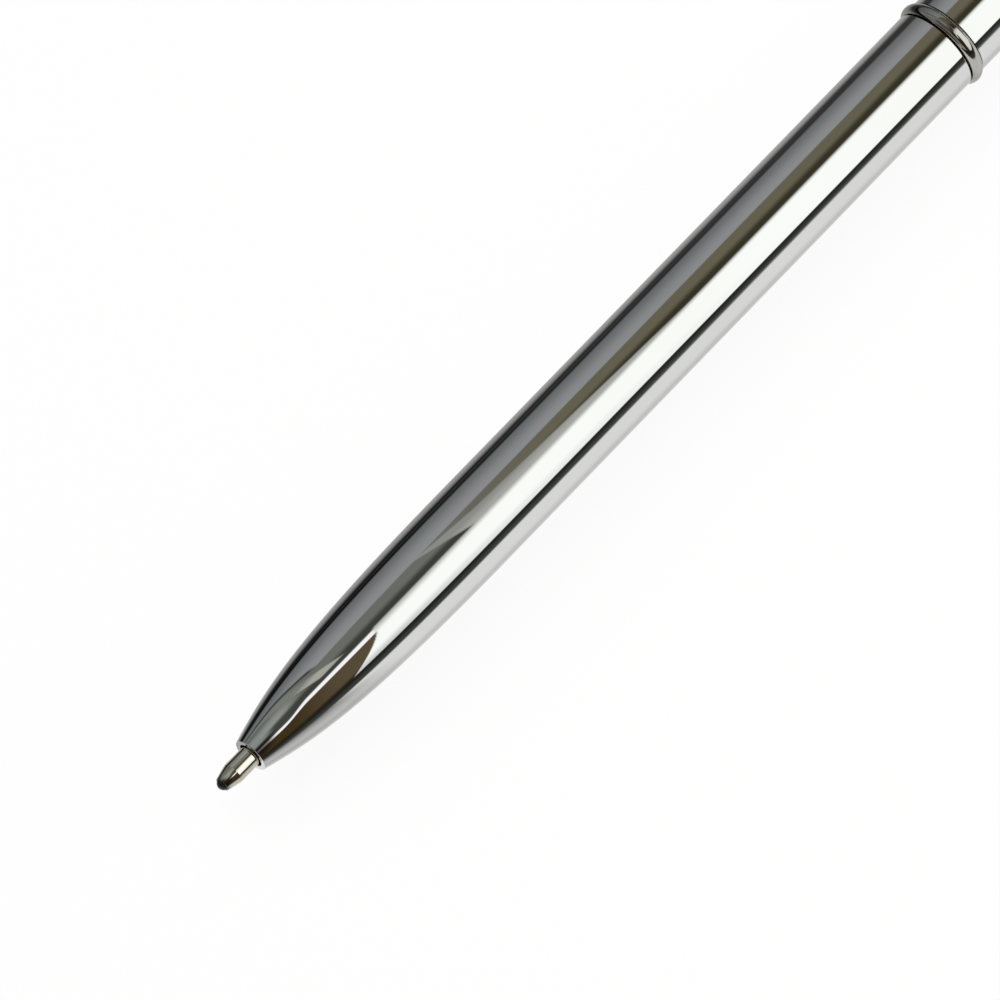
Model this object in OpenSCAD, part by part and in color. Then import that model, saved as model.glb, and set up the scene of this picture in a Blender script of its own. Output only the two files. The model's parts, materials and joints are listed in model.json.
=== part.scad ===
// Slim twist-action ballpoint pen with a metal barrel, lying on its side with the writing point out.
// Sizes are in millimetres. The pen's axis runs along X, point towards -X and top towards +X.
// Each piece is drawn upright, with Z = 0 at the writing end of the ball, and then laid down.

/* [Barrels] */
// Outside diameter of both barrels
barrel_d = 7; // [6.6:0.1:9]
// Wall of both barrel tubes
barrel_wall = 0.5; // [0.4:0.05:0.7]
// Lower barrel, from the rim of its nose to its rear end
lower_length = 76.65; // [66:0.05:96]
// Upper barrel, end to end
upper_length = 48; // [40:0.5:60]
// Bevel on the outer edge of each barrel end
edge_break = 0.08; // [0.02:0.01:0.15]

/* [Nose] */
// Outside diameter at the rim of the nose
rim_d = 2.86; // [2.8:0.02:3.6]
// Rounding of the rim's outer edge
rim_round = 0.06; // [0.06:0.02:0.4]
// Hole in the rim that the writing point passes through
nose_hole_d = 2.05; // [1.9:0.05:2.4]
// Length of that hole
nose_land = 1.4; // [0.8:0.1:1.6]
// Length of the rounded nose, from rim to straight barrel
nose_length = 24.4; // [20:0.2:32]
// Radius gained for each millimetre at the rim
nose_slope = 0.262; // [0.15:0.002:0.3]
// How far the nose holds that slope
nose_front_pull = 4.1; // [1:0.1:6]
// How far ahead the nose starts to run parallel with the barrel
nose_rear_pull = 16.3; // [12:0.1:24]
// Length of the drilled guide for the refill inside the nose
guide_length = 18; // [12:0.5:22]

/* [Centre ring] */
// Width of the bead between the barrels
ring_width = 1.2; // [1:0.1:3]
// Height of the bead over the barrel
ring_rise = 0.3; // [0.1:0.05:0.6]
// Depth of the ring, from the crown of its bead to its bore
ring_depth = 1; // [0.8:0.05:1.2]

/* [Refill] */
// Length of the refill, from the ball to the tail
refill_length = 67; // [60:0.5:70]
// Outside diameter of the ink tube
refill_d = 2.35; // [2.2:0.05:2.9]
// Wall of the ink tube
refill_wall = 0.2; // [0.15:0.01:0.3]
// Straight part of the writing point
point_d = 1.73; // [1.5:0.01:1.8]
// From the ball to the shoulder where the tube starts
point_length = 5.6; // [5.4:0.1:7]
// Part of the point that is pressed into the tube
shank_length = 3.6; // [2.5:0.1:5]
// Cone that leads from the ball's lip to the straight part
cone_length = 1.22; // [1:0.02:2]
// How far the cone's side bulges
cone_bulge = 0.018; // [0:0.002:0.04]
// Diameter of the lip around the ball
lip_d = 1.12; // [1.06:0.02:1.3]
// Writing ball
ball_d = 1; // [0.7:0.05:1.02]
// How far the ball stands out of its lip
ball_out = 0.34; // [0.25:0.01:0.4]
// Ink channel through the point
feed_d = 0.5; // [0.4:0.05:0.7]
// Air space over the ink at the tail of the tube
air_length = 9; // [4:0.5:40]

/* [Twist mechanism] */
// Length of the point that stands out of the nose when in use
point_out = 3.45; // [3:0.05:4.4]
// Distance the refill draws back
travel = 4.6; // [4.5:0.1:5.6]
// Turn of the upper barrel that draws it back, in degrees
twist = 180; // [120:5:200]
// Part of the housing that plugs into the lower barrel
spigot_length = 14; // [10:0.5:18]
// Wall of the bush inside the lower barrel
bush_wall = 0.5; // [0.35:0.05:0.7]
// Length of that bush
bush_length = 12; // [8:0.5:16]
// Depth of the bush below the end of the lower barrel
bush_inset = 0.4; // [0.2:0.1:1]
// Wall of the housing tube that the cam turns on
housing_wall = 0.8; // [0.6:0.05:0.9]
// Wall of the plunger around the refill's tail
socket_wall = 0.3; // [0.25:0.05:0.4]
// Depth of the plunger's socket
socket_depth = 6; // [4:0.5:8]
// Grip slits in the plunger's socket
slit_width = 0.4; // [0.3:0.05:0.6]
// Cross pin that follows the cam
pin_d = 1; // [0.8:0.1:1.2]
// Height of the cross pin over the centre ring with the point out
pin_height = 9.5; // [8:0.5:12]
// Plunger above the cross pin
plunger_head = 6; // [3:0.5:8]
// Length of the cam sleeve
cam_length = 22; // [20:0.5:26]
// Thrust washer between the ring and the cam sleeve
washer_thick = 0.4; // [0.3:0.05:0.6]
// Section of the rubber drag ring
drag_section = 0.46; // [0.4:0.02:0.5]
// Height of the drag ring over the washer
drag_height = 3; // [2:0.25:5]
// Snap ring that keeps the cam sleeve on the housing
snap_thick = 0.5; // [0.4:0.05:0.7]
// How far the snap ring stands over the housing
snap_rise = 0.35; // [0.25:0.05:0.45]
// Opening of the snap ring
snap_gap = 1.4; // [1:0.1:2.5]

/* [Clip] */
// Length of the sprung arm
clip_length = 38; // [30:0.5:42]
// Thickness of the clip's strip
clip_thick = 0.7; // [0.5:0.05:0.9]
// Width of the arm at the top
clip_width = 2.8; // [2:0.1:3.6]
// Width of the arm at its free end
clip_end_width = 2.2; // [1.6:0.1:2.8]
// Space between arm and barrel at the top
clip_space = 1.4; // [1:0.1:2]
// Space left where the arm comes closest to the barrel
clip_nip = 0.15; // [0.1:0.05:0.3]
// Length of the turned-out toe
toe_length = 4; // [3:0.25:6]
// Space between the toe's end and the barrel
toe_space = 1.15; // [0.8:0.05:1.6]

/* [Top] */
// Height of the straight foot of the finial
finial_foot = 1.6; // [1:0.1:3]
// Height of the finial's dome
finial_dome = 4.9; // [3:0.1:7]
// Screwed stud that holds the finial, clip and bush together
stud_d = 2.5; // [2:0.1:3]
// Length of the stud
stud_length = 10; // [8:0.5:12]
// Part of the stud inside the finial
stud_grip = 3.6; // [2.5:0.1:4]
// Length of the bush in the top of the upper barrel
top_bush_length = 7; // [6.8:0.2:10]

/* [Fits] */
// Clearance all round between pieces that slide or turn in each other
slip = 0.03; // [0.02:0.01:0.06]
// Clearance all round between pieces pressed or screwed together
press_gap = 0.02; // [0.01:0.01:0.03]
// Play all round between the refill and its guide
guide_gap = 0.15; // [0.1:0.05:0.25]
// Play along the axis at each seam
seam_gap = 0.06; // [0.04:0.01:0.12]
// Play between the cross pin and its slots
slot_gap = 0.05; // [0.03:0.01:0.08]

/* [Hidden] */
$fn = 96;
tau = 360;
chrome = [0.82, 0.83, 0.85];
brass = [0.80, 0.66, 0.36];
nickel = [0.78, 0.75, 0.66];
steel = [0.62, 0.63, 0.65];
acetal = [0.90, 0.90, 0.87];
rubber = [0.08, 0.08, 0.08];
carbide = [0.25, 0.25, 0.27];
ink_blue = [0.05, 0.07, 0.30];

// Radii of the barrels and the ring
barrel_r = barrel_d / 2;
bore_r = barrel_r - barrel_wall;
ring_r = barrel_r + ring_rise;
ring_bore_r = ring_r - ring_depth;
guide_r = refill_d / 2 + guide_gap;

// Radii of the mechanism, from the refill outwards
plunger_r = refill_d / 2 + press_gap + socket_wall;
housing_bore_r = plunger_r + slip;
housing_r = housing_bore_r + housing_wall;
cam_bore_r = housing_r + slip;
cam_r = bore_r - press_gap;
bush_bore_r = bore_r - press_gap - bush_wall;
spigot_r = bush_bore_r - slip;
drag_floor_r = cam_bore_r - slip - drag_section - press_gap;
snap_floor_r = housing_r - snap_rise;

// Heights along the pen
rim_z = point_out;
seam_z = rim_z + lower_length;
ring_z = seam_z + seam_gap;
collar_z = ring_z + ring_width;
upper_z = collar_z + seam_gap;
washer_z = collar_z;
cam_z = washer_z + washer_thick + seam_gap;
snap_z = cam_z + cam_length + seam_gap;
housing_z = seam_z - spigot_length;
housing_top_z = snap_z + 2 * snap_thick + seam_gap;
pin_z = collar_z + pin_height;
plunger_z = refill_length - socket_depth;
plunger_top_z = pin_z + plunger_head;
clip_z = upper_z + upper_length;
finial_z = clip_z + clip_thick;
overall_length = finial_z + finial_foot + finial_dome;

// The pen lies on its ring and on one edge of the clip's top
clip_in_r = barrel_r + clip_space;
clip_out_r = clip_in_r + clip_thick;
clip_corner_r = norm([clip_out_r, clip_width / 2]);
clip_corner_a = atan2(clip_width / 2, clip_out_r);
clip_a = acos(ring_r / clip_corner_r) + clip_corner_a;
clip_reach = clip_corner_r * sin(clip_a + clip_corner_a);
axis_y = (ring_r - clip_reach) / 2;

module lay() {
    translate([-overall_length / 2, axis_y, ring_r]) rotate([0, 90, 0]) children();
}

// A turned piece: points are [radius, height]
module turned(points) {
    lay() rotate_extrude() polygon(points);
}

// A tube with one radius outside and one inside
module tube(r_out, r_in, z_low, z_high) {
    turned([[r_in, z_low], [r_out, z_low], [r_out, z_high], [r_in, z_high]]);
}

function bezier(a, b, c, d, t) =
    a * pow(1 - t, 3) + 3 * b * t * pow(1 - t, 2) + 3 * c * t * t * (1 - t) + d * pow(t, 3);

function arc(centre, r, from, to, steps) =
    [for (i = [0 : steps]) let (a = from + (to - from) * i / steps) centre + r * [cos(a), sin(a)]];

// Lower body

nose_steps = 28;
nose_curve = [for (i = [0 : nose_steps])
    bezier(
        [rim_d / 2, rim_z + rim_round],
        [rim_d / 2 + nose_slope * nose_front_pull, rim_z + rim_round + nose_front_pull],
        [barrel_r, rim_z + nose_length - nose_rear_pull],
        [barrel_r, rim_z + nose_length],
        i / nose_steps)];
rim_curve = arc([rim_d / 2 - rim_round, rim_z + rim_round], rim_round, -90, -9, 6);
guide_z = rim_z + guide_length;
guide_cone = bore_r - guide_r;

module lower_barrel() {
    color(chrome) turned(concat(
        [[nose_hole_d / 2, rim_z]],
        rim_curve,
        nose_curve,
        [
            [barrel_r, seam_z - edge_break],
            [barrel_r - edge_break, seam_z],
            [bore_r, seam_z],
            [bore_r, guide_z + guide_cone],
            [guide_r, guide_z],
            [guide_r, rim_z + nose_land],
            [nose_hole_d / 2, rim_z + nose_land]
        ]));
}

module barrel_bush() {
    top = seam_z - bush_inset;
    lead = bush_wall / 2;
    color(brass) turned([
        [bush_bore_r, top - bush_length],
        [bore_r - press_gap, top - bush_length],
        [bore_r - press_gap, top],
        [bush_bore_r + lead, top],
        [bush_bore_r, top - lead]
    ]);
}

// Mechanism body

spigot_grooves = 3;
groove_width = 0.5;
groove_depth = 0.1;
groove_pitch = 1.5;
groove_z = housing_z + 2;
groove_points = [for (i = [0 : spigot_grooves - 1]) let (z = groove_z + i * groove_pitch) each [
    [spigot_r, z],
    [spigot_r - groove_depth, z],
    [spigot_r - groove_depth, z + groove_width],
    [spigot_r, z + groove_width]
]];
drag_z = washer_z + washer_thick + drag_height;
drag_width = drag_section + 4 * press_gap;
slot_half = pin_d / 2 + slot_gap;

module pin_slot() {
    ends = [pin_z - slot_gap, pin_z + travel + slot_gap];
    for (z = ends) translate([0, 0, z]) rotate([90, 0, 0])
        cylinder(r = slot_half, h = 2 * cam_r, center = true);
    translate([-slot_half, -cam_r, ends[0]]) cube([2 * slot_half, 2 * cam_r, ends[1] - ends[0]]);
}

module mechanism_housing() {
    collar_r = ring_bore_r - press_gap;
    lead = groove_depth * 3;
    color(brass) difference() {
        turned(concat(
            [[housing_bore_r, housing_z], [spigot_r - lead, housing_z], [spigot_r, housing_z + lead]],
            groove_points,
            [
                [spigot_r, ring_z],
                [collar_r, ring_z],
                [collar_r, collar_z],
                [housing_r, collar_z],
                [housing_r, drag_z - drag_width / 2],
                [drag_floor_r, drag_z - drag_width / 2],
                [drag_floor_r, drag_z + drag_width / 2],
                [housing_r, drag_z + drag_width / 2],
                [housing_r, snap_z],
                [snap_floor_r, snap_z],
                [snap_floor_r, snap_z + snap_thick + press_gap],
                [housing_r, snap_z + snap_thick + press_gap],
                [housing_r, housing_top_z],
                [housing_bore_r, housing_top_z]
            ]));
        lay() pin_slot();
    }
}

bead_r = (pow(ring_width / 2, 2) + pow(ring_rise, 2)) / (2 * ring_rise);
bead_half = asin(ring_width / 2 / bead_r);

module centre_ring() {
    color(chrome) turned(concat(
        [[ring_bore_r, ring_z]],
        arc([ring_r - bead_r, ring_z + ring_width / 2], bead_r, -bead_half, bead_half, 16),
        [[ring_bore_r, collar_z]]));
}

module thrust_washer() {
    color(acetal) tube(cam_r - slip, housing_r + press_gap, washer_z, washer_z + washer_thick);
}

module drag_ring() {
    color(rubber) lay() translate([0, 0, drag_z]) rotate_extrude()
        translate([drag_floor_r + press_gap + drag_section / 2, 0]) circle(d = drag_section);
}

module retaining_ring() {
    color(steel) difference() {
        tube(housing_r + snap_rise, snap_floor_r + press_gap, snap_z, snap_z + snap_thick);
        lay() translate([0, -snap_gap / 2, snap_z - snap_thick]) cube([cam_r, snap_gap, 3 * snap_thick]);
    }
}

// Upper body

// One turn of the cam's slot, as rings of four corners that climb as they turn back
slot_over = 18;
slot_steps = 48;
slot_rise = travel / twist;
cam_slope = atan(slot_rise * tau / (2 * PI * cam_bore_r));
slot_height = slot_half / cos(cam_slope);
slot_in_r = cam_bore_r - 3 * slip;
slot_out_r = cam_r + 3 * slip;

function slot_corner(turn, r, lift) =
    [r * cos(90 - turn), r * sin(90 - turn), pin_z + slot_rise * turn + lift];

function slot_ring(turn) = [
    slot_corner(turn, slot_in_r, -slot_height),
    slot_corner(turn, slot_out_r, -slot_height),
    slot_corner(turn, slot_out_r, slot_height),
    slot_corner(turn, slot_in_r, slot_height)
];

module cam_slot() {
    last = 4 * slot_steps;
    points = [for (i = [0 : slot_steps])
        each slot_ring(-slot_over + (twist + 2 * slot_over) * i / slot_steps)];
    sides = [for (i = [0 : slot_steps - 1], k = [0 : 3])
        let (a = 4 * i + k, b = 4 * i + (k + 1) % 4)
        each [[a, a + 4, b], [b, a + 4, b + 4]]];
    ends = [[0, 1, 2], [0, 2, 3], [last, last + 2, last + 1], [last, last + 3, last + 2]];
    polyhedron(points, concat(sides, ends));
}

module cam_sleeve() {
    color(acetal) difference() {
        tube(cam_r, cam_bore_r, cam_z, cam_z + cam_length);
        lay() for (turn = [0, 180]) rotate(turn) cam_slot();
    }
}

module upper_barrel() {
    top = upper_z + upper_length;
    color(chrome) turned([
        [bore_r, upper_z],
        [barrel_r - edge_break, upper_z],
        [barrel_r, upper_z + edge_break],
        [barrel_r, top - edge_break],
        [barrel_r - edge_break, top],
        [bore_r, top]
    ]);
}

module top_bush() {
    color(brass) tube(bore_r - press_gap, stud_d / 2 + press_gap, clip_z - top_bush_length, clip_z);
}

module at_clip() {
    lay() rotate(clip_a) children();
}

module clip_base() {
    color(chrome) difference() {
        union() {
            at_clip() translate([0, 0, clip_z]) cylinder(r = barrel_r, h = clip_thick);
            at_clip() translate([0, -clip_width / 2, clip_z])
                cube([clip_out_r, clip_width, clip_thick]);
        }
        at_clip() translate([0, 0, clip_z - clip_thick])
            cylinder(r = stud_d / 2 + press_gap, h = 3 * clip_thick);
    }
}

module finial_stud() {
    color(steel) lay() translate([0, 0, finial_z + stud_grip - stud_length])
        cylinder(d = stud_d, h = stud_length);
}

module finial() {
    hole_r = stud_d / 2 + press_gap;
    foot_z = finial_z + finial_foot;
    dome_steps = 15;
    hole_z = finial_z + stud_grip + press_gap;
    color(chrome) turned(concat(
        [[hole_r, finial_z], [barrel_r - edge_break, finial_z], [barrel_r, finial_z + edge_break]],
        [for (i = [0 : dome_steps]) let (a = 90 * i / dome_steps)
            [i == dome_steps ? 0 : barrel_r * cos(a), foot_z + finial_dome * sin(a)]],
        [[0, hole_z], [hole_r, hole_z]]));
}

// Clip arm, a strip that leans in to the barrel and turns out at its toe

module clip_arm() {
    top = clip_z - seam_gap;
    nip = top - clip_length + toe_length;
    toe = top - clip_length;
    nip_r = barrel_r + clip_nip;
    toe_r = barrel_r + toe_space;
    side = [
        [clip_in_r, top],
        [nip_r, nip],
        [toe_r, toe],
        [toe_r + clip_thick, toe],
        [nip_r + clip_thick, nip],
        [clip_out_r, top]
    ];
    face = [
        [-clip_width / 2, top],
        [clip_width / 2, top],
        [clip_end_width / 2, toe],
        [-clip_end_width / 2, toe]
    ];
    color(chrome) at_clip() intersection() {
        translate([0, clip_width, 0]) rotate([90, 0, 0]) linear_extrude(2 * clip_width) polygon(side);
        rotate([90, 0, 90]) linear_extrude(2 * clip_out_r) polygon(face);
    }
}

// Refill body

module plunger() {
    socket_r = refill_d / 2 + press_gap;
    color(acetal) difference() {
        turned([
            [socket_r, plunger_z],
            [plunger_r, plunger_z],
            [plunger_r, plunger_top_z],
            [0, plunger_top_z],
            [0, refill_length],
            [socket_r, refill_length]
        ]);
        lay() translate([0, 0, pin_z]) rotate([90, 0, 0])
            cylinder(r = pin_d / 2 + press_gap, h = 2 * barrel_r, center = true);
        lay() for (turn = [0, 90]) rotate(turn)
            translate([-slit_width / 2, -barrel_r, plunger_z - slit_width])
                cube([slit_width, barrel_d, slit_width + socket_depth * 2 / 3]);
    }
}

module follower_pin() {
    color(steel) lay() translate([0, 0, pin_z]) rotate([90, 0, 0])
        cylinder(d = pin_d, h = 2 * (cam_r - 3 * slip), center = true);
}

module refill_tube() {
    color(nickel) tube(refill_d / 2, refill_d / 2 - refill_wall, point_length, refill_length);
}

ball_r = ball_d / 2;
cup_gap = slip / 2;

module point_body() {
    shank_r = refill_d / 2 - refill_wall - press_gap;
    lip_z = ball_out;
    cone_steps = 8;
    // The cup follows the ball with a little room for ink
    cup_r = ball_r + cup_gap;
    cup_top = acos(feed_d / 2 / cup_r);
    cup_mouth = asin((ball_r - lip_z) / cup_r);
    color(nickel) turned(concat(
        arc([0, ball_r], cup_r, cup_top, -cup_mouth, 14),
        [for (i = [0 : cone_steps]) let (k = i / cone_steps)
            [lip_d / 2 + (point_d - lip_d) / 2 * k + cone_bulge * 4 * k * (1 - k), lip_z + cone_length * k]],
        [
            [point_d / 2, point_length],
            [shank_r, point_length],
            [shank_r, point_length + shank_length],
            [feed_d / 2, point_length + shank_length]
        ]));
}

module ink() {
    ink_r = refill_d / 2 - refill_wall - press_gap;
    color(ink_blue) lay() translate([0, 0, point_length + shank_length])
        cylinder(r = ink_r, h = refill_length - point_length - shank_length - air_length);
}

module ball() {
    color(carbide) lay() translate([0, 0, ball_r]) sphere(d = ball_d);
}

lower_barrel();
barrel_bush();
mechanism_housing();
centre_ring();
thrust_washer();
drag_ring();
retaining_ring();
cam_sleeve();
upper_barrel();
top_bush();
clip_base();
finial_stud();
finial();
clip_arm();
plunger();
follower_pin();
refill_tube();
point_body();
ink();
ball();
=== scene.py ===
"""Slim twist ballpoint pen in bright chrome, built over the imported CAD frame.

Every length is in metres. The pen lies along X with its point towards -X.
"""
import json
import math

import bmesh
import bpy
import numpy as np
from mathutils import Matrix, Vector


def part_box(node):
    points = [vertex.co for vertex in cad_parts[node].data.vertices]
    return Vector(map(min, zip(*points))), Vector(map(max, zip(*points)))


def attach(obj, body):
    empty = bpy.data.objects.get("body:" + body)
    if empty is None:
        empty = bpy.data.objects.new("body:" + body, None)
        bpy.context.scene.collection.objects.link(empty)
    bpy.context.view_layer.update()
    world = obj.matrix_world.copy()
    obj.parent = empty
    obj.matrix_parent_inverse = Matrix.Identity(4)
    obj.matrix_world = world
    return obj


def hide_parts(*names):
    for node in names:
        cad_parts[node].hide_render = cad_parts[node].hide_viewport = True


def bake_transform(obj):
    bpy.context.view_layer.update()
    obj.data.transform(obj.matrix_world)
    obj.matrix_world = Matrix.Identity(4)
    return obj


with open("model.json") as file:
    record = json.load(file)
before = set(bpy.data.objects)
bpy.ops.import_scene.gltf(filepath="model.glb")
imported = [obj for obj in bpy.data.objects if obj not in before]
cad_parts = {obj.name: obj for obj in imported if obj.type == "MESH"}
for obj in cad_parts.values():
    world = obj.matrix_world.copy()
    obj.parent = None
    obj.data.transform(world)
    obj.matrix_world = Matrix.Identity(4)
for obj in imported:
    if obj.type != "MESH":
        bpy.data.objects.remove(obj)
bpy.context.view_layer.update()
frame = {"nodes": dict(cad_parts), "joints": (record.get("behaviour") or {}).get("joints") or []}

bl_info = {
    "name": "Twist ballpoint pen",
    "version": (1, 0, 0),
    "blender": (4, 5, 0),
    "location": "View3D > Sidebar > Pen",
    "description": "Chromed twist ballpoint pen with clip, refill, mechanism and a small studio",
    "category": "Object",
}

MM = 0.001
JOINTS = {joint["name"]: joint for joint in frame["joints"]}

# Faces round a barrel, the refill, the ball and the floor.
SIDES, REFILL_SIDES, BALL_SIDES, FLOOR_SIDES = 256, 128, 96, 128

# The pen's axis, and the direction from it out to the clip and across the clip.
AXIS_Y, AXIS_Z = JOINTS["twist"]["pos_m"][1:]
CLIP_ACROSS = -np.array(JOINTS["clip_flex"]["axis"])
CLIP_OUT = np.array([0.0, CLIP_ACROSS[2], -CLIP_ACROSS[1]])

# Reach of tent and cards to both sides along the pen, in millimetres.
TENT_REACH = 700

# The floor: radius of its flat middle, rounding of its wall's foot, plain white share.
FLOOR_MIDDLE, FLOOR_ROUND, FLOOR_GLOW = 0.05, 0.1, 0.92

# The overhead light's width and turn, in degrees.
LIGHT_SPREAD, LIGHT_TURN = 70, (-28, 10, 0)


def along(node):
    """Where a node starts and ends along the pen."""
    low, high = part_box(node)
    return low[0], high[0]


def colour(hex_code):
    """sRGB hex digits as linear red, green, blue and alpha."""
    srgb = np.array([int(hex_code[i:i + 2], 16) for i in (0, 2, 4)]) / 255
    linear = np.where(srgb <= 0.04045, srgb / 12.92, ((srgb + 0.055) / 1.055) ** 2.4)
    return (*linear.tolist(), 1.0)


def length(name, description, millimetres):
    """A length property with a default in millimetres."""
    return bpy.props.FloatProperty(
        name=name, description=description, default=millimetres * MM, min=0.0,
        precision=5, subtype="DISTANCE", unit="LENGTH")


def angle(name, description, degrees):
    """An angle property with a default in degrees."""
    return bpy.props.FloatProperty(
        name=name, description=description, default=math.radians(degrees),
        subtype="ANGLE", unit="ROTATION")


def paint(name, description, hex_code):
    """A colour property with a default in sRGB hex."""
    return bpy.props.FloatVectorProperty(
        name=name, description=description, default=colour(hex_code), size=4,
        min=0.0, max=1.0, subtype="COLOR")


class PenSizes(bpy.types.PropertyGroup):
    """Sizes of the pieces that show."""
    barrel_radius: length("Barrel radius", "Outside radius of both barrels", 3.5)
    bore_radius: length("Bore radius", "Inside radius of both barrels", 3.0)
    edge_round: length("Edge rounding", "Rounding of the barrels' outer edges", 0.08)
    inner_round: length("Inner rounding", "Rounding of inner edges", 0.05)
    seam_round: length("Seam rounding", "Rounding of the edges beside the centre ring", 0.03)
    ring_relief: length("Ring relief", "How far the ring stands back from its front seam", 0.1)
    rim_radius: length("Rim radius", "Outside radius where the rim's rounding ends", 1.43)
    rim_round: length("Rim rounding", "Rounding of the rim's outer edge", 0.06)
    nose_hole: length("Nose hole", "Radius of the hole for the writing point", 1.025)
    nose_land: length("Nose land", "Length of that hole", 1.4)
    nose_length: length("Nose length", "From the rim to the straight barrel", 24.4)
    nose_front: length("Nose front pull", "How far the nose holds its first slope", 4.1)
    nose_rear: length("Nose rear pull", "How early the nose runs parallel", 16.3)
    nose_slope: bpy.props.FloatProperty(
        name="Nose slope", description="Radius gained for each length at the rim",
        default=0.262, min=0.0, max=1.0)
    guide_radius: length("Guide radius", "Bore that guides the refill in the nose", 1.325)
    guide_length: length("Guide length", "Length of that bore", 18.0)
    ring_rise: length("Bead rise", "Height of the centre ring over the barrel", 0.3)
    ring_bore: length("Ring bore", "Radius of the hole in the centre ring", 2.8)
    finial_dome: length("Dome height", "Height of the finial's dome", 4.9)
    stud_hole: length("Stud hole", "Radius of the hole for the screwed stud", 1.27)
    stud_depth: length("Stud depth", "Depth of that hole in the finial", 3.62)
    clip_thick: length("Clip thickness", "Thickness of the clip's strip", 0.7)
    clip_width: length("Clip width", "Width of the clip at the top", 2.8)
    clip_end: length("Clip end width", "Width of the clip at its toe", 2.2)
    clip_space: length("Clip space", "Space between clip and barrel at the top", 1.4)
    clip_nip: length("Clip nip", "Space where the clip comes closest", 0.15)
    clip_toe: length("Toe length", "Length of the turned-out toe", 4.0)
    toe_space: length("Toe space", "Space between the toe's end and the barrel", 1.15)
    tube_radius: length("Tube radius", "Outside radius of the ink tube", 1.175)
    tube_bore: length("Tube bore", "Inside radius of the ink tube", 0.975)
    point_radius: length("Point radius", "Radius of the straight part of the point", 0.865)
    shank_radius: length("Shank radius", "Radius of the point inside the tube", 0.955)
    lip_radius: length("Lip radius", "Radius of the lip round the ball", 0.56)
    cone_length: length("Cone length", "From the lip to the straight part", 1.22)
    cone_bulge: length("Cone bulge", "How far the cone's side bulges", 0.018)
    feed_radius: length("Feed radius", "Radius of the ink channel", 0.25)
    ball_radius: length("Ball radius", "Radius of the writing ball", 0.5)
    cup_gap: length("Cup gap", "Room for ink between ball and cup", 0.015)


class PenFinishes(bpy.types.PropertyGroup):
    """Colours of the finishes."""
    chrome: paint("Chrome", "Bright chromium plate", "D7D7D7")
    chrome_deep: paint("Chrome, deep", "Chromium where the polish is thinner", "D2D2D1")
    # The ring's colour is darker than the chrome partly as painted shade, for the darker
    # reflections on the bead.
    ring: paint("Ring", "Nickel plate of the centre ring", "B6B4AF")
    ring_dull: paint("Ring, dull", "Nickel plate that has dulled", "A5A29C")
    brass: paint("Brass", "Freshly turned brass", "E3C176")
    brass_dull: paint("Brass, dull", "Brass that has darkened", "B98F4A")
    nickel: paint("Nickel silver", "Freshly turned nickel silver", "E6E0D2")
    nickel_dull: paint("Nickel silver, dull", "Nickel silver that has darkened", "B7B0A2")
    tube: paint("Tube", "Nickel plate on the ink tube", "CFCBC0")
    tube_dull: paint("Tube, dull", "Nickel plate in the draw lines", "A9A498")
    steel: paint("Spring steel", "Ground spring steel", "A9ABB0")
    steel_dull: paint("Spring steel, dull", "Oiled spring steel", "75777C")
    carbide: paint("Carbide", "Ground tungsten carbide", "8C8D93")
    acetal: paint("Acetal", "Natural acetal", "EDECE4")
    acetal_grey: paint("Acetal, flow lines", "Acetal where it flowed last", "DCDBD2")
    rubber: paint("Rubber", "Nitrile rubber", "1C1C1D")
    rubber_bloom: paint("Rubber bloom", "Grey bloom on the rubber", "3A3A3B")
    ink: paint("Ink", "Blue ink paste", "141A52")
    ink_thin: paint("Ink, thin", "Ink where its film is thin", "2A3488")
    ink_dry: paint("Ink, dried", "Dark ink that has dried round the ball", "0C0B10")


class PenStage(bpy.types.PropertyGroup):
    """Camera and light."""
    azimuth: angle("Azimuth", "Direction that the camera looks from", 310.8857)
    elevation: angle("Elevation", "Height of the camera over the horizon", 63.1023)
    view_angle: angle("Field of view", "Angle across the square picture", 3.2099)
    distance: length("Camera distance", "From the camera to its target", 1300.0)
    target: bpy.props.FloatVectorProperty(
        name="Target", description="Point in the middle of the picture",
        default=(-0.0373701, -0.0009844, 0.0038066), size=3, subtype="XYZ", unit="LENGTH")
    sun: bpy.props.FloatProperty(
        name="Overhead light", description="Strength of the soft overhead light",
        default=3.9, min=0.0)
    key: bpy.props.FloatProperty(
        name="Tent light", description="Strength of the tent's panels and cloth",
        default=1.48, min=0.0)
    tent_radius: length("Tent radius", "From the pen to the cloth round it", 350.0)
    floor_radius: length("Floor radius", "Radius of the white floor", 4300.0)
    floor_wall: length("Floor wall", "Height of the low wall round the floor", 300.0)


# Outlines, in (along the pen, distance from its axis)

def bezier(a, b, c, d, steps):
    """Cubic curve from a to d: the four points weighted by the cubic Bernstein terms."""
    t = np.linspace(0, 1, steps)[:, None]
    points = [np.asarray(p, float) for p in (a, b, c, d)]
    weights = ((1 - t) ** 3, 3 * t * (1 - t) ** 2, 3 * t ** 2 * (1 - t), t ** 3)
    return sum(w * p for w, p in zip(weights, points))


def ellipse(centre, radii, first, last, steps):
    """Part of an ellipse: centre plus radii times the cosine and sine of an angle in degrees."""
    a = np.radians(np.linspace(first, last, steps))[:, None]
    return np.asarray(centre) + np.asarray(radii) * np.hstack([np.cos(a), np.sin(a)])


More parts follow.
